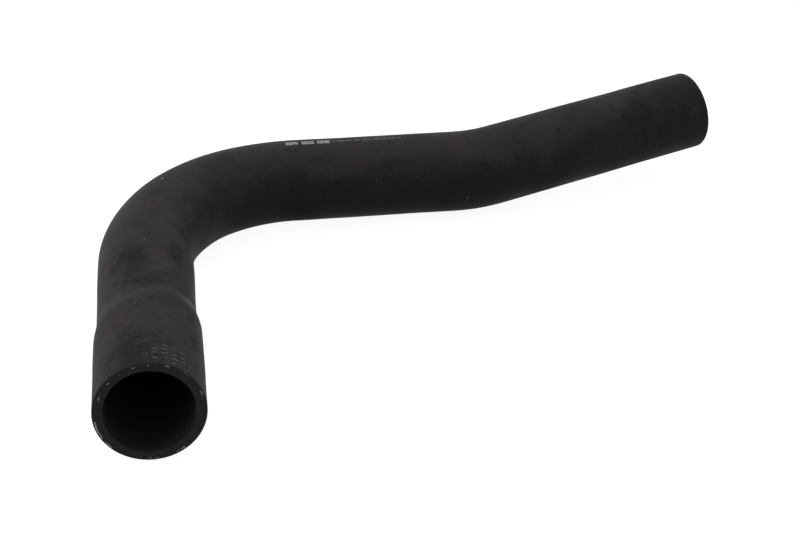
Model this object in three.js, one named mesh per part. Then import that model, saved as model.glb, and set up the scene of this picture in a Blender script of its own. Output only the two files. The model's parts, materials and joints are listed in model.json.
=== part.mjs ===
// Charge air hose: one moulded tube of reinforced rubber, in millimetres, +Z up.
// It lies as it rests on a table. Its long run lies along X, its near leg lies along Y with the
// wider mouth facing -Y, and its far leg bears off to the left and climbs a little.
// The origin is under the middle of the hose's bounding box, on the table.
import * as THREE from "three";

// Bores and wall
const mouthBore = 39.4;
const cuffBore = 40.4;
const waistBore = 37.4;
const nearLegBore = 38.6;
const runBore = 37;
const wall = 4.6;

// Lengths along the centre line
const cuffLength = 58;
const flareLength = 16;
const nearStraight = 134;
const runStraight = 93.5;
const farStraight = 134;

// How far the cuff stands off the near leg's line, and how many degrees the flare leans over
const cuffOffset = 0.5;
const flareLean = 10;

// Bends, as radii of the centre line and angles in degrees
const elbowAngle = 90;
const elbowEntryAngle = 35.5;
const elbowEntryRadius = 108;
const elbowExitRadius = 78;
const farBendRadius = 98;
const farTurn = 14.7;
const farRise = 6;

// How finely the surface is divided
const facetsRound = 56;
const flareRings = 10;
const nearLegRings = 5;
const degreesPerRing = 4.5;

const radians = THREE.MathUtils.degToRad;
const up = new THREE.Vector3(0, 0, 1);
const ahead = new THREE.Vector3(0, 1, 0);

// The far bend turns the run's direction, +X, straight to the far leg's direction.
const runDirection = new THREE.Vector3(1, 0, 0);
const farDirection = new THREE.Vector3(
  Math.cos(radians(farTurn)) * Math.cos(radians(farRise)),
  Math.sin(radians(farTurn)) * Math.cos(radians(farRise)),
  Math.sin(radians(farRise)),
);
const farBendAngle = THREE.MathUtils.radToDeg(runDirection.angleTo(farDirection));
const farBendAxis = runDirection.clone().cross(farDirection).normalize();

// The centre line from the near mouth to the far one. Each bend turns about its own axis.
const elbowAxis = up.clone().negate();
const route = [
  { name: "near leg", length: nearStraight },
  bend("elbow entry", elbowEntryRadius, elbowEntryAngle, elbowAxis),
  bend("elbow exit", elbowExitRadius, elbowAngle - elbowEntryAngle, elbowAxis),
  { name: "run", length: runStraight },
  bend("far bend", farBendRadius, farBendAngle, farBendAxis),
  { name: "far leg", length: farStraight },
];

function bend(name, radius, angle, axis) {
  return { name, radius, angle, axis, length: radius * radians(angle) };
}

// Distances from the near mouth at which the stretches start and end
const cuffEnd = cuffLength;
const flareEnd = cuffEnd + flareLength;
const elbowStart = distanceTo("elbow entry");
const runStart = distanceTo("run");
const totalLength = distanceTo("far leg") + farStraight;

function distanceTo(name) {
  let distance = 0;
  for (const stretch of route) {
    if (stretch.name === name) {
      break;
    }
    distance += stretch.length;
  }
  return distance;
}

// Where the centre line is at a distance from the near mouth, and how it has turned there
function locate(distance) {
  const place = new THREE.Vector3();
  const turned = new THREE.Quaternion();
  let left = distance;
  for (const stretch of route) {
    const used = Math.min(left, stretch.length);
    const heading = ahead.clone().applyQuaternion(turned);
    if (stretch.axis) {
      const swept = used / stretch.radius;
      const inward = stretch.axis.clone().cross(heading);
      place.addScaledVector(heading, stretch.radius * Math.sin(swept));
      place.addScaledVector(inward, stretch.radius * (1 - Math.cos(swept)));
      turned.premultiply(new THREE.Quaternion().setFromAxisAngle(stretch.axis, swept));
    } else {
      place.addScaledVector(heading, used);
    }
    left -= used;
  }
  return { place, turned };
}

// How much of the flare is passed: none of it along the cuff, and all of it beyond
function flarePassed(distance) {
  return THREE.MathUtils.smoothstep(distance, cuffEnd, flareEnd);
}

// The bore widens along the cuff, narrows through the flare to a waist, widens again up to the
// elbow, and narrows along it to the run's bore, which holds to the far end.
function boreRadius(distance) {
  const { clamp, lerp, smoothstep } = THREE.MathUtils;
  const cuff = lerp(mouthBore, cuffBore, clamp(distance / cuffEnd, 0, 1));
  const waist = lerp(cuff, waistBore, flarePassed(distance));
  const leg = lerp(waist, nearLegBore, smoothstep(distance, flareEnd, elbowStart));
  return lerp(leg, runBore, smoothstep(distance, elbowStart, runStart)) / 2;
}

function outerRadius(distance) {
  return boreRadius(distance) + wall;
}

// Rings of points: close together at the flare and the bends, and none where the bore holds
function ringDistances() {
  const distances = [0];
  for (let ring = 0; ring <= flareRings; ring += 1) {
    distances.push(cuffEnd + (flareLength * ring) / flareRings);
  }
  for (let ring = 1; ring < nearLegRings; ring += 1) {
    distances.push(flareEnd + ((elbowStart - flareEnd) * ring) / nearLegRings);
  }
  for (const stretch of route) {
    const start = distanceTo(stretch.name);
    if (stretch.axis) {
      const steps = Math.ceil(stretch.angle / degreesPerRing);
      for (let step = 0; step < steps; step += 1) {
        distances.push(start + (stretch.length * step) / steps);
      }
    } else if (start > 0) {
      distances.push(start);
    }
  }
  distances.push(totalLength);
  return distances;
}

// The straight hose is a turned section: out along the wall, over the far end, back down the bore.
function straightHose() {
  const distances = ringDistances();
  const outside = distances.map((distance) => new THREE.Vector2(outerRadius(distance), distance));
  const inside = distances.map((distance) => new THREE.Vector2(boreRadius(distance), distance));
  const section = [...outside, ...inside.reverse(), outside[0].clone()];
  return new THREE.LatheGeometry(section, facetsRound);
}

// The flare leans away from the mouth on the side of the elbow's inside. The lean is full along the
// flare, and it dies away to none at the mouth and at the elbow.
function leanAt(distance) {
  const share = Math.min(distance / cuffEnd, (elbowStart - distance) / (elbowStart - flareEnd));
  return Math.tan(radians(flareLean)) * THREE.MathUtils.clamp(share, 0, 1);
}

// Each point of the straight hose is leaned and offset, then carried to its place on the centre line.
function bendAlongRoute(geometry) {
  const positions = geometry.getAttribute("position");
  const point = new THREE.Vector3();
  for (let index = 0; index < positions.count; index += 1) {
    point.fromBufferAttribute(positions, index);
    const { place, turned } = locate(point.y + point.x * leanAt(point.y));
    point.x += cuffOffset * (1 - flarePassed(point.y));
    point.setY(0).applyQuaternion(turned).add(place);
    positions.setXYZ(index, point.x, point.y, point.z);
  }
}

// The cuff is wider than the run, so the hose tips until both the run and the cuff's inner end
// touch the table.
function restingTilt() {
  const cuffRadius = outerRadius(cuffEnd);
  const runRadius = outerRadius(totalLength);
  const reach = locate(runStart).place.y - locate(cuffEnd).place.y;
  return Math.atan2(cuffRadius, reach) - Math.asin(runRadius / Math.hypot(reach, cuffRadius));
}

function hose() {
  const geometry = straightHose();
  bendAlongRoute(geometry);
  geometry.rotateX(-restingTilt());
  geometry.computeBoundingBox();
  const box = geometry.boundingBox;
  const middle = box.getCenter(new THREE.Vector3());
  geometry.translate(-middle.x, -middle.y, -box.min.z);
  const rubber = new THREE.MeshStandardMaterial({ color: 0x2a2a2a, roughness: 0.8, metalness: 0 });
  const mesh = new THREE.Mesh(geometry, rubber);
  mesh.name = "hose";
  return mesh;
}

const part = new THREE.Group();
part.add(hose());

export default part;
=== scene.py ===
# A charge air hose lying on a pale table: one moulded tube of knitted yarn and black rubber.
# Lengths along the hose are in millimetres, as on a maker's drawing, and turn to metres in its mesh.
import json
import math

import bpy
import numpy as np
from mathutils import Matrix, Vector


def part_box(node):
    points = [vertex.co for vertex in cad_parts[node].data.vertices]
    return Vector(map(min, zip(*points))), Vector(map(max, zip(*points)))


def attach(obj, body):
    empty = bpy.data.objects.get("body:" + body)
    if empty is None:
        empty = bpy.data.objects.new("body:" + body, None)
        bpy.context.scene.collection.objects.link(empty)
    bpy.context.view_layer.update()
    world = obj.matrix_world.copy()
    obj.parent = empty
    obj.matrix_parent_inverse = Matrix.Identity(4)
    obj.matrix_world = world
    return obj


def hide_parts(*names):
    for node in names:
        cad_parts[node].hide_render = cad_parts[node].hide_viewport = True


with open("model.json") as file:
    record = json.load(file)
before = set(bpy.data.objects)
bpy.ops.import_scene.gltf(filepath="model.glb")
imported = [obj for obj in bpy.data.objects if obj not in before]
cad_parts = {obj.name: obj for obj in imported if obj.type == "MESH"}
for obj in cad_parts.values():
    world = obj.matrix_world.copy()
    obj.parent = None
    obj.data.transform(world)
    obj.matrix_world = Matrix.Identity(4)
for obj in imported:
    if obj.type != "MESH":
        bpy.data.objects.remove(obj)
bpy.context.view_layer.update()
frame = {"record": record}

scene = bpy.context.scene

# Camera
# It stands in front of the near leg, a little to its left, and looks down on the hose.
# It stands near enough that the near mouth looks clearly wider than the far end.
camera_aim = Vector((-0.0224, 0.01534, 0.0))
camera_distance = 0.763
camera_azimuth = math.radians(-9.93)
camera_pitch = math.radians(28.25)
camera_roll = math.radians(0.79)

toward_camera = Vector(
    (
        math.sin(camera_azimuth) * math.cos(camera_pitch),
        -math.cos(camera_azimuth) * math.cos(camera_pitch),
        math.sin(camera_pitch),
    )
)
camera_data = bpy.data.cameras.new("camera")
camera_data.lens = 63.0
camera_data.sensor_width = 36.0
camera = bpy.data.objects.new("camera", camera_data)
scene.collection.objects.link(camera)
looking = (-toward_camera).to_track_quat("-Z", "Y").to_matrix().to_4x4()
camera.matrix_world = (
    Matrix.Translation(camera_aim + toward_camera * camera_distance)
    @ looking
    @ Matrix.Rotation(camera_roll, 4, "Z")
)
scene.camera = camera

# Hose
# One piece of reinforced rubber, built up on a bent mandrel, wrapped, cured and cut square.
# Its wall is even, so the bore follows the outside, but for a slight oval at the near mouth.
mm = 0.001
wall = 4.6
mouth_bore = 39.4
cuff_bore = 40.4
waist_bore = 37.4
near_leg_bore = 38.6
run_bore = 37.0
cuff_length = 58.0
flare_length = 16.0
cuff_offset = 0.5
flare_lean = math.radians(10.0)
near_straight = 134.0
elbow_bends = [(108.0, 35.5), (78.0, 54.5)]
run_straight = 93.5
far_bend_radius = 98.0
far_turn = math.radians(14.7)
far_rise = math.radians(6.0)
far_straight = 134.0
outer_lip = 0.25
inner_lip = 0.3

up = np.array([0.0, 0.0, 1.0])
run_heading = np.array([1.0, 0.0, 0.0])
far_heading = np.array(
    [
        math.cos(far_turn) * math.cos(far_rise),
        math.sin(far_turn) * math.cos(far_rise),
        math.sin(far_rise),
    ]
)
far_bend_axis = np.cross(run_heading, far_heading)
far_bend_angle = math.asin(np.linalg.norm(far_bend_axis))
far_bend_axis = far_bend_axis / np.linalg.norm(far_bend_axis)

# Each stretch is its length, and for a bend its radius and the axis that it turns about.
route = [(near_straight, None, None)]
for radius, degrees in elbow_bends:
    route.append((radius * math.radians(degrees), radius, -up))
route.append((run_straight, None, None))
route.append((far_bend_radius * far_bend_angle, far_bend_radius, far_bend_axis))
route.append((far_straight, None, None))
flare_end = cuff_length + flare_length
run_start = sum(stretch[0] for stretch in route[:3])
hose_length = sum(stretch[0] for stretch in route)


def turned(vectors, axis, angles):
    """Vectors turned about a unit axis, each by its own angle."""
    along = (vectors @ axis)[:, None] * axis
    cosines = np.cos(angles)[:, None]
    sines = np.sin(angles)[:, None]
    return along + (vectors - along) * cosines + np.cross(axis, vectors) * sines


def bend_along_route(points):
    """Carries points of the straight hose, as distance, across and above, to the bent one."""
    left = points[:, 0].copy()
    place = np.zeros_like(points)
    right, ahead, above = (np.tile(axis, (len(points), 1)) for axis in np.eye(3))
    for number, (length, radius, axis) in enumerate(route):
        used = np.minimum(left, length) if number < len(route) - 1 else left
        if radius is None:
            place += ahead * used[:, None]
        else:
            swept = used / radius
            inward = np.cross(axis, ahead)
            place += ahead * (radius * np.sin(swept))[:, None]
            place += inward * (radius * (1 - np.cos(swept)))[:, None]
            right, ahead, above = (turned(v, axis, swept) for v in (right, ahead, above))
        left = left - used
    return place + right * points[:, 1:2] + above * points[:, 2:3]


def eased(distances, start, end):
    shares = np.clip((distances - start) / (end - start), 0.0, 1.0)
    return shares * shares * (3 - 2 * shares)


def flare_passed(distances):
    return eased(distances, cuff_length, flare_end)


def lean_at(distances):
    """The flare leans over on the elbow's inside, and the lean dies away at both sides of it."""
    after_flare = (near_straight - distances) / (near_straight - flare_end)
    shares = np.minimum(distances / cuff_length, after_flare)
    return math.tan(flare_lean) * np.clip(shares, 0.0, 1.0)


def bore_radius(distances):
    bore = mouth_bore + (cuff_bore - mouth_bore) * np.clip(distances / cuff_length, 0.0, 1.0)
    bore = bore + (waist_bore - bore) * flare_passed(distances)
    bore = bore + (near_leg_bore - bore) * eased(distances, flare_end, near_straight)
    return (bore + (run_bore - bore) * eased(distances, near_straight, run_start)) / 2


# The section runs out along the cover, round the far lips, back down the bore and round the
# near lips. Each point has a distance, a radius and the number of its finish.
COVER, CUT, BORE = 0, 1, 2
points_round = 240
cover_step = 2.1
flare_step = 0.8
bore_step = 6.0
lip_points = 4
face_rings = 6


def cover_distances():
    before = np.arange(outer_lip, cuff_length, cover_step)
    flare = np.arange(cuff_length, flare_end, flare_step)
    beyond = np.linspace(flare_end, hose_length - outer_lip, int(hose_length / cover_step))
    return np.concatenate([before, flare, beyond])


def cut_end(face, inward):
    """The rounded outer lip, the flat face and the rounded inner lip, from outside to inside."""
    outside = bore_radius(face) + wall
    inside = bore_radius(face)
    points = []
    for step in range(1, lip_points + 1):
        angle = math.pi / 2 * step / lip_points
        depth = outer_lip * (1 - math.sin(angle))
        points.append((face + inward * depth, outside - outer_lip * (1 - math.cos(angle)), CUT))
    for radius in np.linspace(outside - outer_lip, inside + inner_lip, face_rings)[1:]:
        points.append((face, radius, CUT))
    for step in range(1, lip_points):
        angle = math.pi / 2 * step / lip_points
        depth = inner_lip * (1 - math.cos(angle))
        points.append((face + inward * depth, inside + inner_lip * (1 - math.sin(angle)), CUT))
    return points


def section():
    points = [(distance, bore_radius(distance) + wall, COVER) for distance in cover_distances()]
    points += cut_end(hose_length, -1)
    for distance in np.linspace(hose_length - inner_lip, inner_lip, int(hose_length / bore_step)):
        points.append((distance, bore_radius(distance), BORE))
    points += reversed(cut_end(0.0, 1))
    return points


# The cover is slightly uneven, because it is pressed by a tape that is wound round it by hand.
unevenness = 0.05
uneven_waves = 14
shortest_wave = 24.0
longest_wave = 90.0
most_turns = 4
waves = np.random.default_rng(7)
wave_lengths = waves.uniform(shortest_wave, longest_wave, uneven_waves)
wave_turns = waves.integers(-most_turns, most_turns + 1, uneven_waves)
wave_phases = waves.uniform(0.0, 2 * math.pi, uneven_waves)


def cover_relief(distances, angles):
    total = np.zeros(np.broadcast_shapes(distances.shape, angles.shape))
    for length, turns, phase in zip(wave_lengths, wave_turns, wave_phases):
        total += np.cos(2 * math.pi * distances / length + turns * angles + phase)
    return unevenness * total / math.sqrt(uneven_waves)


def level_drawing(points):
    """Leans the flare, sets the cuff off the leg's line, bends the hose and tips it to its rest."""
    distances = points[:, 0]
    drawn = points.copy()
    drawn[:, 0] += points[:, 1] * lean_at(distances)
    drawn[:, 1] += cuff_offset * (1 - flare_passed(distances))
    cuff_face = next(m for m in frame["record"]["mounts"] if m["name"] == "cuff_end_face")
    tilt = Matrix.Rotation(-math.asin(cuff_face["axis"][2]), 3, "X")
    return bend_along_route(drawn) @ np.array(tilt).T


angles = np.linspace(0, 2 * math.pi, points_round, endpoint=False)
distances, radii, finishes = (np.array(column)[:, None] for column in zip(*section()))
# At the mouth the bore is slightly taller than it is wide, and stands a little high in the wall.
mouth_oval = 0.4
mouth_rise = 0.2
inward_share = np.clip((bore_radius(distances) + wall - radii) / wall, 0.0, 1.0)
mouth_share = inward_share * (1 - eased(distances, 0.0, cuff_length))
radii = radii + np.where(finishes == COVER, cover_relief(distances, angles), 0.0)
radii = radii + mouth_share * (mouth_oval * np.sin(angles) ** 2 + mouth_rise * np.sin(angles))
straight = np.stack(
    [distances + 0 * angles, radii * np.cos(angles), radii * np.sin(angles)], axis=2
).reshape(-1, 3)
resting = level_drawing(straight)

# The resting hose is moved so that it fills the frame's own box and lies on the table.
low, high = (np.array(corner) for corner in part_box("hose"))
drawn_low, drawn_high = resting.min(axis=0), resting.max(axis=0)
shift = (low + high) / 2 / mm - (drawn_low + drawn_high) / 2
shift[2] = low[2] / mm - drawn_low[2]

rings = len(distances)
corners = np.arange(rings * points_round).reshape(rings, points_round)
following = np.roll(corners, -1, axis=0)
faces = np.stack(
    [corners, np.roll(corners, -1, axis=1), np.roll(following, -1, axis=1), following], axis=2
).reshape(-1, 4)
ring_finish = np.maximum(finishes[:, 0] == CUT, np.roll(finishes[:, 0], -1) == CUT)
ring_finish = np.where(ring_finish, CUT, finishes[:, 0])

wall_mesh = bpy.data.meshes.new("hose_wall")
wall_mesh.from_pydata(((resting + shift) * mm).tolist(), [], faces.tolist())
wall_mesh.polygons.foreach_set("material_index", np.repeat(ring_finish, points_round))
wall_mesh.polygons.foreach_set("use_smooth", np.ones(len(faces), dtype=bool))
# The materials draw on the straight hose, so their patterns bend with it.
drawing = wall_mesh.attributes.new("straight", "FLOAT_VECTOR", "POINT")
drawing.data.foreach_set("vector", straight.astype(np.float32).ravel())
wall_mesh.update()
hose = bpy.data.objects.new("hose_wall", wall_mesh)
scene.collection.objects.link(hose)
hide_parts("hose")
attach(hose, "root")


def linear(code):
    """A colour from its sRGB hex value, in the linear values that the shader takes."""
    shares = [int(code[place:place + 2], 16) / 255 for place in (1, 3, 5)]
    return [s / 12.92 if s <= 0.04045 else ((s + 0.055) / 1.055) ** 2.4 for s in shares] + [1.0]


def add_node(tree, kind, settings=None, links=None):
    """Adds a node. Settings fill its properties and inputs, and links join its inputs."""
    node = tree.nodes.new(kind)
    for name, value in (settings or {}).items():
        if isinstance(name, str) and hasattr(node, name):
            setattr(node, name, value)
        else:
            node.inputs[name].default_value = value
    for name, socket in (links or {}).items():
        tree.links.new(socket, node.inputs[name])
    return node


def new_material(name):
    material = bpy.data.materials.new(name)
    material.use_nodes = True
    material.node_tree.nodes.clear()
    return material


# Cover
# EPDM rubber, cured under a wound nylon tape, so it is matt with fine lines round the hose.
# The knitted yarn under it shows as rows of short dashes where the cover is thin, painted pale as lit
# ridges with a painted shadow beside each.
cover = new_material("wrapped_epdm_rubber")
tree = cover.node_tree
drawn = add_node(tree, "ShaderNodeAttribute", {"attribute_name": "straight"}).outputs["Vector"]
parts = add_node(tree, "ShaderNodeSeparateXYZ", links={0: drawn})
along = parts.outputs["X"]
turn = add_node(
    tree, "ShaderNodeMath", {"operation": "ARCTAN2"}, {0: parts.outputs["Z"], 1: parts.outputs["Y"]}
).outputs[0]


def spot(distance, degrees, half_length, half_width):
    """How far each point is from a spot on the cover, as 1 on the rim of the spot's oval."""
    angle = math.radians(degrees)
    radius = float(bore_radius(distance)) + wall
    centre = (distance, radius * math.cos(angle), radius * math.sin(angle))
    away = add_node(
        tree, "ShaderNodeVectorMath", {"operation": "SUBTRACT", 1: centre}, {0: drawn}
    ).outputs[0]
    stretched = add_node(
        tree,
        "ShaderNodeVectorMath",
        {"operation": "DIVIDE", 1: (half_length, half_width, half_width)},
        {0: away},
    ).outputs[0]
    return add_node(
        tree, "ShaderNodeVectorMath", {"operation": "LENGTH"}, {0: stretched}
    ).outputs["Value"]


# Places on the cover have uneven rims, as hands and dust don't stop along a line; the painted light
# and shade places share them.
rim_patch = 7.0
rim_unevenness = 2.4
rim_seed = 9.0
rim_noise = add_node(
    tree,
    "ShaderNodeTexNoise",
    {"noise_dimensions": "4D", "W": rim_seed, "Scale": 1 / rim_patch, "Detail": 3.0},
    {"Vector": drawn},
).outputs["Fac"]
rim_shift = add_node(
    tree,
    "ShaderNodeMath",
    {"operation": "MULTIPLY_ADD", 1: rim_unevenness, 2: -rim_unevenness / 2},
    {0: rim_noise},
).outputs[0]


def place_mask(distance, degrees, half_length, half_width, strength, full, gone, ragged=True):
    """A place on the cover: its strength inside, then fading out to nothing over its rim."""
    oval = spot(distance, degrees, half_length, half_width)
    if ragged:
        oval = add_node(
            tree, "ShaderNodeMath", {"operation": "ADD"}, {0: oval, 1: rim_shift}
        ).outputs[0]
    fading = {"From Min": full, "From Max": gone, "To Min": strength, "To Max": 0.0}
    return add_node(
        tree,
        "ShaderNodeMapRange",
        {"interpolation_type": "SMOOTHSTEP", **fading},
        {"Value": oval},
    ).outputs["Result"]


# Dust lies on the upper side, down to an uneven edge a little above the middle. It is thicker in a
# few places, and one place is painted light; each is given as distance, degrees round, half length,
# half width and strength.
dust_patch = 34.0
upward_share = 0.015
dust_starts = 0.57
dust_full = 0.77
dust_and_light_places = [
    (240.0, 58.0, 36.0, 13.0, 0.9),
    # Painted light: a pale band along the near leg's upper left side, where the light from the left
    # is strongest
    (90.0, 136.0, 42.0, 8.0, 1.0),
    (330.0, 38.0, 70.0, 10.0, 0.45),
]
patches = add_node(
    tree,
    "ShaderNodeTexNoise",
    {"Scale": 1 / dust_patch, "Detail": 4.0, "Roughness": 0.5},
    {"Vector": drawn},
).outputs["Fac"]
upper_patches = add_node(
    tree,
    "ShaderNodeMath",
    {"operation": "MULTIPLY_ADD", 1: upward_share},
    {0: parts.outputs["Z"], 2: patches},
).outputs[0]
dust_and_painted_light = add_node(
    tree,
    "ShaderNodeMapRange",
    {"interpolation_type": "SMOOTHSTEP", "From Min": dust_starts, "From Max": dust_full},
    {"Value": upper_patches},
).outputs["Result"]
for dust_and_light_place in dust_and_light_places:
    place = place_mask(*dust_and_light_place, full=0.4, gone=1.1)
    dust_and_painted_light = add_node(
        tree, "ShaderNodeMath", {"operation": "MAXIMUM"}, {0: dust_and_painted_light, 1: place}
    ).outputs[0]

# The dust is browner in some patches and greyer in others.
tint_patch = 16.0
tint_seed = 2.0
tint = add_node(
    tree,
    "ShaderNodeTexNoise",
    {"noise_dimensions": "4D", "W": tint_seed, "Scale": 1 / tint_patch, "Detail": 3.0},
    {"Vector": drawn},
).outputs["Fac"]
browner = add_node(
    tree, "ShaderNodeMapRange", {"From Min": 0.4, "From Max": 0.6}, {"Value": tint}
).outputs["Result"]
dust_colour = add_node(
    tree,
    "ShaderNodeMix",
    {"data_type": "RGBA", 6: linear("#3a3a39"), 7: linear("#3e3938")},
    {0: browner},
).outputs[2]
colour = add_node(
    tree,
    "ShaderNodeMix",
    {"data_type": "RGBA", 6: linear("#2c2c2c")},
    {0: dust_and_painted_light, 7: dust_colour},
).outputs[2]

# Smaller mottling, cooler and darker, where hands have rubbed the dust off
rubbed_patch = 12.0
rubbed_starts = 0.46
rubbed_full = 0.72
most_mottling = 0.36
rubbing = add_node(
    tree,
    "ShaderNodeTexNoise",
    {"Scale": 1 / rubbed_patch, "Detail": 3.0},
    {"Vector": drawn},
).outputs["Fac"]
mottling = {"From Min": rubbed_starts, "From Max": rubbed_full, "To Max": most_mottling}
rubbed_and_shaded = add_node(
    tree,
    "ShaderNodeMapRange",
    {"interpolation_type": "SMOOTHSTEP", **mottling},
    {"Value": rubbing},
).outputs["Result"]

# Each darker place is its distance, degrees round, half length, half width and strength.
# Those along the top of the cuff and near leg are partly rubbed and partly painted shade, the dimmer
# top between the side lights.
rubbed_and_shaded_places = [
    (9.0, 104.0, 25.0, 18.0, 0.85),
    (30.0, 33.0, 12.0, 5.5, 1.0),
    (48.0, 34.0, 7.0, 6.0, 0.8),
    (78.0, 88.0, 12.0, 13.0, 0.7),
    (98.0, 103.0, 30.0, 12.0, 0.8),
    (112.0, 48.0, 20.0, 7.0, 0.7),
    (134.0, 92.0, 28.0, 18.0, 0.4),
    (182.0, 108.0, 36.0, 12.0, 0.5),
    (515.0, 62.0, 52.0, 30.0, 0.6),
]
for rubbed_and_shaded_place in rubbed_and_shaded_places:
    place = place_mask(*rubbed_and_shaded_place, full=0.2, gone=1.1)
    rubbed_and_shaded = add_node(
        tree, "ShaderNodeMath", {"operation": "MAXIMUM"}, {0: rubbed_and_shaded, 1: place}
    ).outputs[0]
colour = add_node(
    tree,
    "ShaderNodeMix",
    {"data_type": "RGBA", 7: linear("#1a1d1d")},
    {0: rubbed_and_shaded, 6: colour},
).outputs[2]

# Painted highlight: a pale patch on the right of the hollow behind the flare, where light catches its
# slope
painted_flare_highlight = place_mask(65.0, 32.0, 7.0, 7.0, strength=0.65, full=0.2, gone=1.1)
colour = add_node(
    tree,
    "ShaderNodeMix",
    {"data_type": "RGBA", 7: linear("#6a6762")},
    {0: painted_flare_highlight, 6: colour},
).outputs[2]

# Fine grain in the rubber, with dust caught in it
grain_size = 0.9
most_grain_dust = 0.22
grain = add_node(
    tree,
    "ShaderNodeTexNoise",
    {"Scale": 1 / grain_size, "Detail": 2.0},
    {"Vector": drawn},
).outputs["Fac"]
grained = add_node(
    tree,
    "ShaderNodeMapRange",
    {"From Min": 0.45, "From Max": 0.8, "To Max": most_grain_dust},
    {"Value": grain},
).outputs["Result"]
colour = add_node(
    tree,
    "ShaderNodeMix",
    {"data_type": "RGBA", 7: linear("#4a4744")},
    {0: grained, 6: colour},
).outputs[2]

# Lines of the wound tape's edges, which show mostly on the near leg
tape_pitch = 2.2
tape_patch = 18.0
tape_fade_start = 115.0
tape_fade_end = 150.0
tape_left_beyond = 0.15
most_tape_dust = 0.22
tape_phase = add_node(
    tree, "ShaderNodeMath", {"operation": "MULTIPLY", 1: 2 * math.pi / tape_pitch}, {0: along}
).outputs[0]
tape = add_node(tree, "ShaderNodeMath", {"operation": "SINE"}, {0: tape_phase}).outputs[0]
tape_patches = add_node(
    tree,
    "ShaderNodeTexNoise",
    {"Scale": 1 / tape_patch, "Detail": 2.0},
    {"Vector": drawn},
).outputs["Fac"]
tape_shows = add_node(
    tree,
    "ShaderNodeMapRange",
    {"From Min": 0.46, "From Max": 0.62},
    {"Value": tape_patches},
).outputs["Result"]
tape_fades = add_node(
    tree,
    "ShaderNodeMapRange",
    {
        "From Min": tape_fade_start,
        "From Max": tape_fade_end,
        "To Min": 1.0,
        "To Max": tape_left_beyond,
    },
    {"Value": along},
).outputs["Result"]
tape_lines = tape
for mask in (tape_shows, tape_fades):
    tape_lines = add_node(
        tree, "ShaderNodeMath", {"operation": "MULTIPLY"}, {0: tape_lines, 1: mask}
    ).outputs[0]
tape_dust = add_node(
    tree,
    "ShaderNodeMath",
    {"operation": "MULTIPLY", 1: most_tape_dust, "use_clamp": True},
    {0: tape_lines},
).outputs[0]
colour = add_node(
    tree,
    "ShaderNodeMix",
    {"data_type": "RGBA", 7: linear("#5c5955")},
    {0: tape_dust, 6: colour},
).outputs[2]

# Knitted yarn: columns of loops stand side by side round the hose, in courses that climb slightly.
columns = 36
first_column = math.radians(1.0)
course_pitch = 3.3
climb_per_column = 0.12
loop_bow = 0.9
yarn_wander = 0.8
columns_per_radian = columns / (2 * math.pi)
in_columns = add_node(
    tree,
    "ShaderNodeMath",
    {"operation": "MULTIPLY_ADD", 1: columns_per_radian, 2: -first_column * columns_per_radian},
    {0: turn},
).outputs[0]
column = add_node(tree, "ShaderNodeMath", {"operation": "ROUND"}, {0: in_columns}).outputs[0]
beside = add_node(
    tree, "ShaderNodeMath", {"operation": "SUBTRACT"}, {0: in_columns, 1: column}
).outputs[0]
beside_squared = add_node(
    tree, "ShaderNodeMath", {"operation": "MULTIPLY"}, {0: beside, 1: beside}
).outputs[0]
wandering = add_node(
    tree, "ShaderNodeTexNoise", {"Scale": 1 / course_pitch, "Detail": 1.0}, {"Vector": drawn}
).outputs["Fac"]
in_courses = add_node(
    tree, "ShaderNodeMath", {"operation": "MULTIPLY", 1: 1 / course_pitch}, {0: along}
).outputs[0]
course_shifts = [
    (column, climb_per_column),
    (beside_squared, loop_bow),
    (wandering, yarn_wander),
]
for cause, amount in course_shifts:
    in_courses = add_node(
        tree, "ShaderNodeMath", {"operation": "MULTIPLY_ADD", 1: amount}, {0: cause, 2: in_courses}
    ).outputs[0]
course = add_node(tree, "ShaderNodeMath", {"operation": "ROUND"}, {0: in_courses}).outputs[0]
past_course = add_node(
    tree, "ShaderNodeMath", {"operation": "SUBTRACT"}, {0: in_courses, 1: course}
).outputs[0]


def closeness(value, target, full, gone):
    """1 where a value is within one distance of its target, and 0 beyond a longer one."""
    away = add_node(
        tree, "ShaderNodeMath", {"operation": "SUBTRACT", 1: target}, {0: value}
    ).outputs[0]
    distance = add_node(tree, "ShaderNodeMath", {"operation": "ABSOLUTE"}, {0: away}).outputs[0]
    fading = {"From Min": full, "From Max": gone, "To Min": 1.0, "To Max": 0.0}
    return add_node(
        tree,
        "ShaderNodeMapRange",
        {"interpolation_type": "SMOOTHSTEP", **fading},
        {"Value": distance},
    ).outputs["Result"]


# Each loop shows as a short bowed ridge across its column, painted pale as the yarn and a highlight,
# with a dark line of painted shadow beside it.
# These are shares of a course along the hose, and of a column round it.
ridge_shadow_place = -0.3
thread_core = 0.04
thread_edge = 0.2
loop_core = 0.2
loop_edge = 0.42
break_size = 2.4
break_seed = 5.0
ridge = closeness(past_course, 0.0, thread_core, thread_edge)
ridge_shadow_line = closeness(past_course, ridge_shadow_place, thread_core, thread_edge)
loop_ends = closeness(beside, 0.0, loop_core, loop_edge)
broken = add_node(
    tree,
    "ShaderNodeTexNoise",
    {"noise_dimensions": "4D", "W": break_seed, "Scale": 1 / break_size, "Detail": 1.0},
    {"Vector": drawn},
).outputs["Fac"]
unbroken = add_node(
    tree,
    "ShaderNodeMapRange",
    {"From Min": 0.4, "From Max": 0.62},
    {"Value": broken},
).outputs["Result"]

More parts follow.
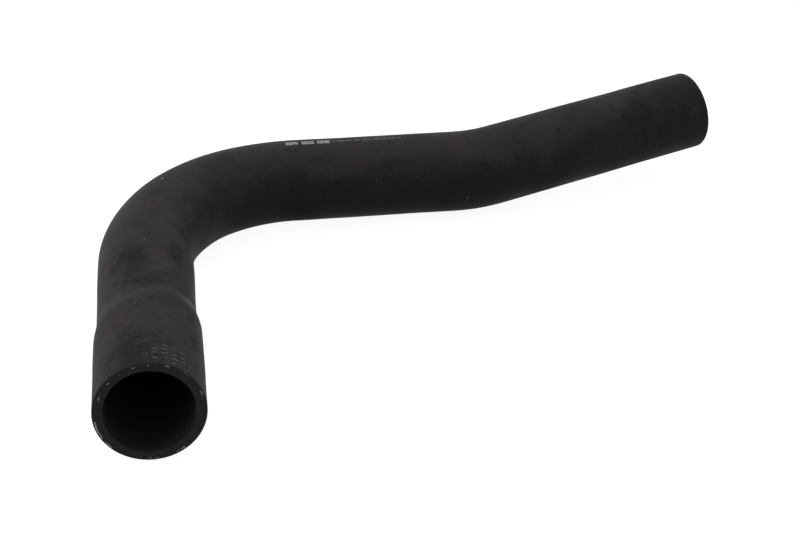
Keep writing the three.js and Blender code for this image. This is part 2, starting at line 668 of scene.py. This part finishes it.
# The cover is thinnest at the top of the cuff beside its cut end, and on the flare.
thin_places = [
    (9.0, 66.0, 11.0, 15.0, 0.5),
    (56.5, 98.0, 6.0, 12.0, 0.17),
    (17.0, 92.0, 8.0, 5.0, 0.2),
]
thin, *more_thin = (
    place_mask(*thin_place, full=0.3, gone=1.0, ragged=False) for thin_place in thin_places
)
for place in more_thin:
    thin = add_node(
        tree, "ShaderNodeMath", {"operation": "MAXIMUM"}, {0: thin, 1: place}
    ).outputs[0]
loops_show = add_node(
    tree, "ShaderNodeMath", {"operation": "MULTIPLY"}, {0: loop_ends, 1: thin}
).outputs[0]
painted_ridge_shadow = add_node(
    tree, "ShaderNodeMath", {"operation": "MULTIPLY"}, {0: ridge_shadow_line, 1: loops_show}
).outputs[0]
yarn_ridge_and_highlight = loops_show
for mask in (ridge, unbroken):
    yarn_ridge_and_highlight = add_node(
        tree, "ShaderNodeMath", {"operation": "MULTIPLY"}, {0: yarn_ridge_and_highlight, 1: mask}
    ).outputs[0]
# Painted shadow beside each ridge, then the pale ridges, partly the yarn's colour and partly a
# painted highlight
for shows, code in ((painted_ridge_shadow, "#121212"), (yarn_ridge_and_highlight, "#a2a6a6")):
    colour = add_node(
        tree, "ShaderNodeMix", {"data_type": "RGBA", 7: linear(code)}, {0: shows, 6: colour}
    ).outputs[2]

# A worn, broken line of white ink along the top of the run, a plain mark for lining the hose up
# Each part is its middle, half length, half width, the pitch of its dashes and its strength.
ink_degrees = 89.5
gap_share = 0.2
line_parts = [(284.0, 13.4, 2.0, 9.0, 0.8), (318.5, 19.5, 0.6, 5.0, 0.35)]
ink_wear = add_node(
    tree,
    "ShaderNodeMapRange",
    {"From Min": 0.34, "From Max": 0.5},
    {"Value": grain},
).outputs["Result"]
for middle, half_length, half_width, dash_pitch, strength in line_parts:
    on_length = add_node(
        tree, "ShaderNodeMath", {"operation": "COMPARE", 1: middle, 2: half_length}, {0: along}
    ).outputs[0]
    half_turn = half_width / (run_bore / 2 + wall)
    on_width = add_node(
        tree,
        "ShaderNodeMath",
        {"operation": "COMPARE", 1: math.radians(ink_degrees), 2: half_turn},
        {0: turn},
    ).outputs[0]
    in_dashes = add_node(
        tree, "ShaderNodeMath", {"operation": "DIVIDE", 1: dash_pitch}, {0: along}
    ).outputs[0]
    dash_place = add_node(
        tree, "ShaderNodeMath", {"operation": "FRACT"}, {0: in_dashes}
    ).outputs[0]
    on_dash = add_node(
        tree, "ShaderNodeMath", {"operation": "GREATER_THAN", 1: gap_share}, {0: dash_place}
    ).outputs[0]
    inked = ink_wear
    for mask in (on_length, on_width, on_dash):
        inked = add_node(
            tree, "ShaderNodeMath", {"operation": "MULTIPLY"}, {0: inked, 1: mask}
        ).outputs[0]
    faded = add_node(
        tree, "ShaderNodeMath", {"operation": "MULTIPLY", 1: strength}, {0: inked}
    ).outputs[0]
    colour = add_node(
        tree,
        "ShaderNodeMix",
        {"data_type": "RGBA", 7: linear("#c4c8cc")},
        {0: faded, 6: colour},
    ).outputs[2]

# Lint, and small scuffs and nicks: distance, degrees round, half length, half width and colour
small_marks = [
    (190.9, 101.3, 0.5, 0.6, "#d8d8d4"),
    (118.2, 87.8, 0.5, 0.35, "#8a8a88"),
    (372.8, -18.0, 0.5, 1.6, "#6e6e6a"),
    (320.8, 19.0, 0.5, 0.7, "#55554f"),
    (430.5, 51.0, 0.5, 1.8, "#141414"),
]
for distance, degrees, half_length, half_width, code in small_marks:
    marked = add_node(
        tree,
        "ShaderNodeMapRange",
        {"From Min": 0.4, "From Max": 1.1, "To Min": 1.0, "To Max": 0.0},
        {"Value": spot(distance, degrees, half_length, half_width)},
    ).outputs["Result"]
    colour = add_node(
        tree, "ShaderNodeMix", {"data_type": "RGBA", 7: linear(code)}, {0: marked, 6: colour}
    ).outputs[2]

# Heights in millimetres: the tape's lines, the grain, and the yarn under the thin cover
tape_height = 0.012
grain_height = 0.07
yarn_height = 0.12
heights = add_node(
    tree, "ShaderNodeMath", {"operation": "MULTIPLY", 1: tape_height}, {0: tape_lines}
).outputs[0]
for pattern, height in ((grain, grain_height), (yarn_ridge_and_highlight, yarn_height)):
    heights = add_node(
        tree, "ShaderNodeMath", {"operation": "MULTIPLY_ADD", 1: height}, {0: pattern, 2: heights}
    ).outputs[0]
relief = add_node(tree, "ShaderNodeBump", {"Strength": 1.0, "Distance": mm}, {"Height": heights})
roughness = add_node(
    tree,
    "ShaderNodeMapRange",
    {"From Min": 0.3, "From Max": 0.7, "To Min": 0.55, "To Max": 0.72},
    {"Value": patches},
)
rubber = add_node(
    tree,
    "ShaderNodeBsdfPrincipled",
    {"IOR": 1.5, "Specular IOR Level": 0.05},
    {
        "Base Color": colour,
        "Roughness": roughness.outputs["Result"],
        "Normal": relief.outputs["Normal"],
    },
)
add_node(tree, "ShaderNodeOutputMaterial", links={"Surface": rubber.outputs["BSDF"]})
hose.data.materials.append(cover)

# Cut ends
# The wall is cut square with a knife after curing, which leaves dense, even, dark grey rubber.
# The blade leaves faint scratches across the face, and some show slightly paler.
cut = new_material("cut_epdm_rubber")
tree = cut.node_tree
drawn = add_node(tree, "ShaderNodeAttribute", {"attribute_name": "straight"}).outputs["Vector"]
scratch_size = 1.4
scratch_depth = 0.05
scratch_stretch = (1.0, 0.25, 1.6)
across_face = add_node(
    tree, "ShaderNodeVectorMath", {"operation": "MULTIPLY", 1: scratch_stretch}, {0: drawn}
).outputs[0]
scratches = add_node(
    tree,
    "ShaderNodeTexNoise",
    {"Scale": 1 / scratch_size, "Detail": 3.0},
    {"Vector": across_face},
).outputs["Fac"]
paler = add_node(
    tree, "ShaderNodeMapRange", {"From Min": 0.35, "From Max": 0.7}, {"Value": scratches}
).outputs["Result"]
cut_colour = add_node(
    tree,
    "ShaderNodeMix",
    {"data_type": "RGBA", 6: linear("#262626"), 7: linear("#343434")},
    {0: paler},
).outputs[2]
scored = add_node(
    tree,
    "ShaderNodeBump",
    {"Strength": 0.4, "Distance": scratch_depth * mm},
    {"Height": scratches},
)
rubber = add_node(
    tree,
    "ShaderNodeBsdfPrincipled",
    {"Roughness": 0.66, "IOR": 1.5, "Specular IOR Level": 0.12},
    {"Base Color": cut_colour, "Normal": scored.outputs["Normal"]},
)
add_node(tree, "ShaderNodeOutputMaterial", links={"Surface": rubber.outputs["BSDF"]})
hose.data.materials.append(cut)

# Bore
# The lining is formed against a lubricated steel mandrel, so it is smooth, even and black.
lining = new_material("mandrel_formed_lining")
tree = lining.node_tree
drawn = add_node(tree, "ShaderNodeAttribute", {"attribute_name": "straight"}).outputs["Vector"]
streak_size = 6.0
streak_stretch = (0.2, 1.0, 1.0)
down_the_bore = add_node(
    tree, "ShaderNodeVectorMath", {"operation": "MULTIPLY", 1: streak_stretch}, {0: drawn}
).outputs[0]
streaks = add_node(
    tree,
    "ShaderNodeTexNoise",
    {"Scale": 1 / streak_size, "Detail": 3.0},
    {"Vector": down_the_bore},
).outputs["Fac"]
streaked = add_node(
    tree, "ShaderNodeMapRange", {"To Min": 0.45, "To Max": 0.65}, {"Value": streaks}
).outputs["Result"]
rubber = add_node(
    tree,
    "ShaderNodeBsdfPrincipled",
    {"Base Color": linear("#2c2c2c"), "IOR": 1.5, "Specular IOR Level": 0.15},
    {"Roughness": streaked},
)
add_node(tree, "ShaderNodeOutputMaterial", links={"Surface": rubber.outputs["BSDF"]})
hose.data.materials.append(lining)

# Yarn ends
# The knitted aramid yarn is cut through with the wall, so its pale filaments stick out of the
# cut faces in small tufts. On the near face two strands were pulled loose and lie on the rubber.
filament_radius = 0.13
filament_sides = 6
filament_rings = 5
tuft_spread = 0.45
spread_across_wall = 0.3
shortest_reach = 0.25
longest_reach = 0.6
least_bend = 0.4
most_bend = 1.1
rise = 1.3
buried = 0.3
yarn_random = np.random.default_rng(11)
# On the near face: radius, degrees round, and how many filaments show
near_tufts = [
    (23.1, 104.6, 5),
    (23.5, 88.0, 2),
    (23.7, 68.7, 3),
    (23.9, 46.8, 2),
    (23.0, 119.0, 1),
    (22.7, 135.0, 3),
    (22.4, 155.0, 3),
    (23.6, 18.9, 4),
    (23.2, 265.5, 2),
    (23.3, 272.0, 3),
    (23.0, 300.0, 2),
    (23.1, 306.0, 2),
]
# Strands on the near face: radius, the degrees where they start and end, and their thickness
near_strands = [(23.3, 186.0, 208.0, 0.27), (23.5, 214.0, 223.5, 0.22)]
strand_points = 24
strand_wander = 0.12
strand_waves = 9
far_tuft_count = 22
far_tuft_shift = 0.3
most_far_filaments = 3
yarn_share_of_wall = 0.7

yarn_points = []
yarn_faces = []


def add_filament(path, radius):
    """A round thread along a path of points, closed at both ends."""
    path = np.array(path)
    headings = np.gradient(path, axis=0)
    headings /= np.linalg.norm(headings, axis=1)[:, None]
    side = np.cross(headings, [0.31, 0.17, 0.94])
    side /= np.linalg.norm(side, axis=1)[:, None]
    over = np.cross(headings, side)
    first = len(yarn_points)
    for centre, across, above in zip(path, side, over):
        for number in range(filament_sides):
            angle = 2 * math.pi * number / filament_sides
            yarn_points.append(centre + radius * (across * math.cos(angle) + above * math.sin(angle)))
    for ring in range(len(path) - 1):
        for number in range(filament_sides):
            beside = (number + 1) % filament_sides
            here = first + ring * filament_sides
            beyond = here + filament_sides
            yarn_faces.append((here + number, here + beside, beyond + beside, beyond + number))
    last = first + (len(path) - 1) * filament_sides
    yarn_faces.append(tuple(first + number for number in reversed(range(filament_sides))))
    yarn_faces.append(tuple(last + number for number in range(filament_sides)))


def add_tuft(face, outward, radius, degrees, filaments):
    """Filaments that start in the wall, come out of the cut face and bend over to one side."""
    for _ in range(filaments):
        offset_round, offset_out = yarn_random.normal(0.0, tuft_spread, 2)
        reach = yarn_random.uniform(shortest_reach, longest_reach)
        bent_over = yarn_random.uniform(least_bend, most_bend) * yarn_random.choice([-1, 1])
        path = []
        for share in np.linspace(0, 1, filament_rings):
            around = math.radians(degrees) + (offset_round + bent_over * share ** 2) / radius
            out = radius + spread_across_wall * offset_out
            depth = outward * (reach * math.sin(share * math.pi / 2) * rise - buried)
            path.append((face + depth, out * math.cos(around), out * math.sin(around)))
        add_filament(path, filament_radius)


for radius, degrees, filaments in near_tufts:
    add_tuft(0.0, -1, radius, degrees, filaments)
for radius, start, end, thickness in near_strands:
    path = []
    for share in np.linspace(0, 1, strand_points):
        around = math.radians(start + (end - start) * share)
        out = radius + strand_wander * math.sin(strand_waves * share + start)
        path.append((-thickness / 2, out * math.cos(around), out * math.sin(around)))
    add_filament(path, thickness)
far_yarn_radius = float(bore_radius(hose_length)) + yarn_share_of_wall * wall
for tuft in range(far_tuft_count):
    shifted = tuft + yarn_random.uniform(-far_tuft_shift, far_tuft_shift)
    degrees = 360 * shifted / far_tuft_count
    filaments = int(yarn_random.integers(1, most_far_filaments + 1))
    add_tuft(hose_length, 1, far_yarn_radius, degrees, filaments)

yarn_mesh = bpy.data.meshes.new("yarn_ends")
yarn_places = (level_drawing(np.array(yarn_points)) + shift) * mm
yarn_mesh.from_pydata(yarn_places.tolist(), [], yarn_faces)
yarn_mesh.polygons.foreach_set("use_smooth", np.ones(len(yarn_faces), dtype=bool))
yarn_ends = bpy.data.objects.new("yarn_ends", yarn_mesh)
scene.collection.objects.link(yarn_ends)
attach(yarn_ends, "root")

yarn = new_material("cut_aramid_yarn")
tree = yarn.node_tree
fibre_patch = 1.2
fibre_place = add_node(tree, "ShaderNodeTexCoord").outputs["Object"]
fibre_shade = add_node(
    tree,
    "ShaderNodeTexNoise",
    {"Scale": 1 / (fibre_patch * mm), "Detail": 2.0},
    {"Vector": fibre_place},
).outputs["Fac"]
whiter = add_node(
    tree, "ShaderNodeMapRange", {"From Min": 0.35, "From Max": 0.65}, {"Value": fibre_shade}
).outputs["Result"]
fibre_colour = add_node(
    tree,
    "ShaderNodeMix",
    {"data_type": "RGBA", 6: linear("#8c8b84"), 7: linear("#d6d5cd")},
    {0: whiter},
).outputs[2]
fibre = add_node(
    tree,
    "ShaderNodeBsdfPrincipled",
    {"Roughness": 0.6, "IOR": 1.5, "Sheen Weight": 0.3},
    {"Base Color": fibre_colour},
)
add_node(tree, "ShaderNodeOutputMaterial", links={"Surface": fibre.outputs["BSDF"]})
yarn_ends.data.materials.append(yarn)

# Table and backdrop
# A flat sheet of pale card. Seen directly it is plain white, and it keeps the hose's faint shadow.
card = bpy.data.meshes.new("table")
half_side = 4.0
card_corners = [(x * half_side, y * half_side, 0) for x, y in ((-1, -1), (1, -1), (1, 1), (-1, 1))]
card.from_pydata(card_corners, [], [(0, 1, 2, 3)])
table = bpy.data.objects.new("table", card)
scene.collection.objects.link(table)


def seen_directly(tree):
    """1 for rays that show the background: straight to the camera, by a gloss or through glass."""
    ray = add_node(tree, "ShaderNodeLightPath")
    shown = ray.outputs["Is Camera Ray"]
    for name in ("Is Glossy Ray", "Is Transmission Ray"):
        shown = add_node(
            tree, "ShaderNodeMath", {"operation": "MAXIMUM"}, {0: shown, 1: ray.outputs[name]}
        ).outputs[0]
    return shown


white_card = new_material("white_card")
tree = white_card.node_tree
lift = 0.92
card_seen = seen_directly(tree)
lifted = add_node(tree, "ShaderNodeMath", {"operation": "MULTIPLY", 1: lift}, {0: card_seen})
paper = add_node(
    tree,
    "ShaderNodeBsdfPrincipled",
    {"Base Color": linear("#9a9a9a"), "Roughness": 0.9, "Emission Color": (1.0, 1.0, 1.0, 1.0)},
    {"Emission Strength": lifted.outputs[0]},
)
add_node(tree, "ShaderNodeOutputMaterial", links={"Surface": paper.outputs["BSDF"]})
card.materials.append(white_card)

# Light
# A studio's even light, with a broad softbox over the back of the hose and one at each side.
world = bpy.data.worlds.new("studio")
world.use_nodes = True
scene.world = world
studio = world.node_tree
studio.nodes.clear()
even_light = 0.32
backdrop_seen = seen_directly(studio)
strength = add_node(
    studio,
    "ShaderNodeMapRange",
    {"To Min": even_light, "To Max": 1.0},
    {"Value": backdrop_seen},
)
backdrop = add_node(
    studio,
    "ShaderNodeBackground",
    {"Color": (1.0, 1.0, 1.0, 1.0)},
    {"Strength": strength.outputs["Result"]},
)
add_node(studio, "ShaderNodeOutputWorld", links={"Surface": backdrop.outputs["Background"]})


def softbox(name, place, width, height, power):
    data = bpy.data.lights.new(name, "AREA")
    data.shape = "RECTANGLE"
    data.size = width
    data.size_y = height
    data.energy = power
    lamp = bpy.data.objects.new(name, data)
    lamp.location = place
    lamp.rotation_mode = "QUATERNION"
    lamp.rotation_quaternion = (-Vector(place)).to_track_quat("-Z", "Y")
    scene.collection.objects.link(lamp)


softbox("overhead", (0.0, 0.55, 1.05), 1.6, 0.8, 3.3)
softbox("left", (-1.1, -0.1, 0.4), 0.8, 0.8, 2.8)
softbox("right", (1.1, -0.1, 0.4), 0.8, 0.8, 1.3)

scene.view_settings.view_transform = "Standard"
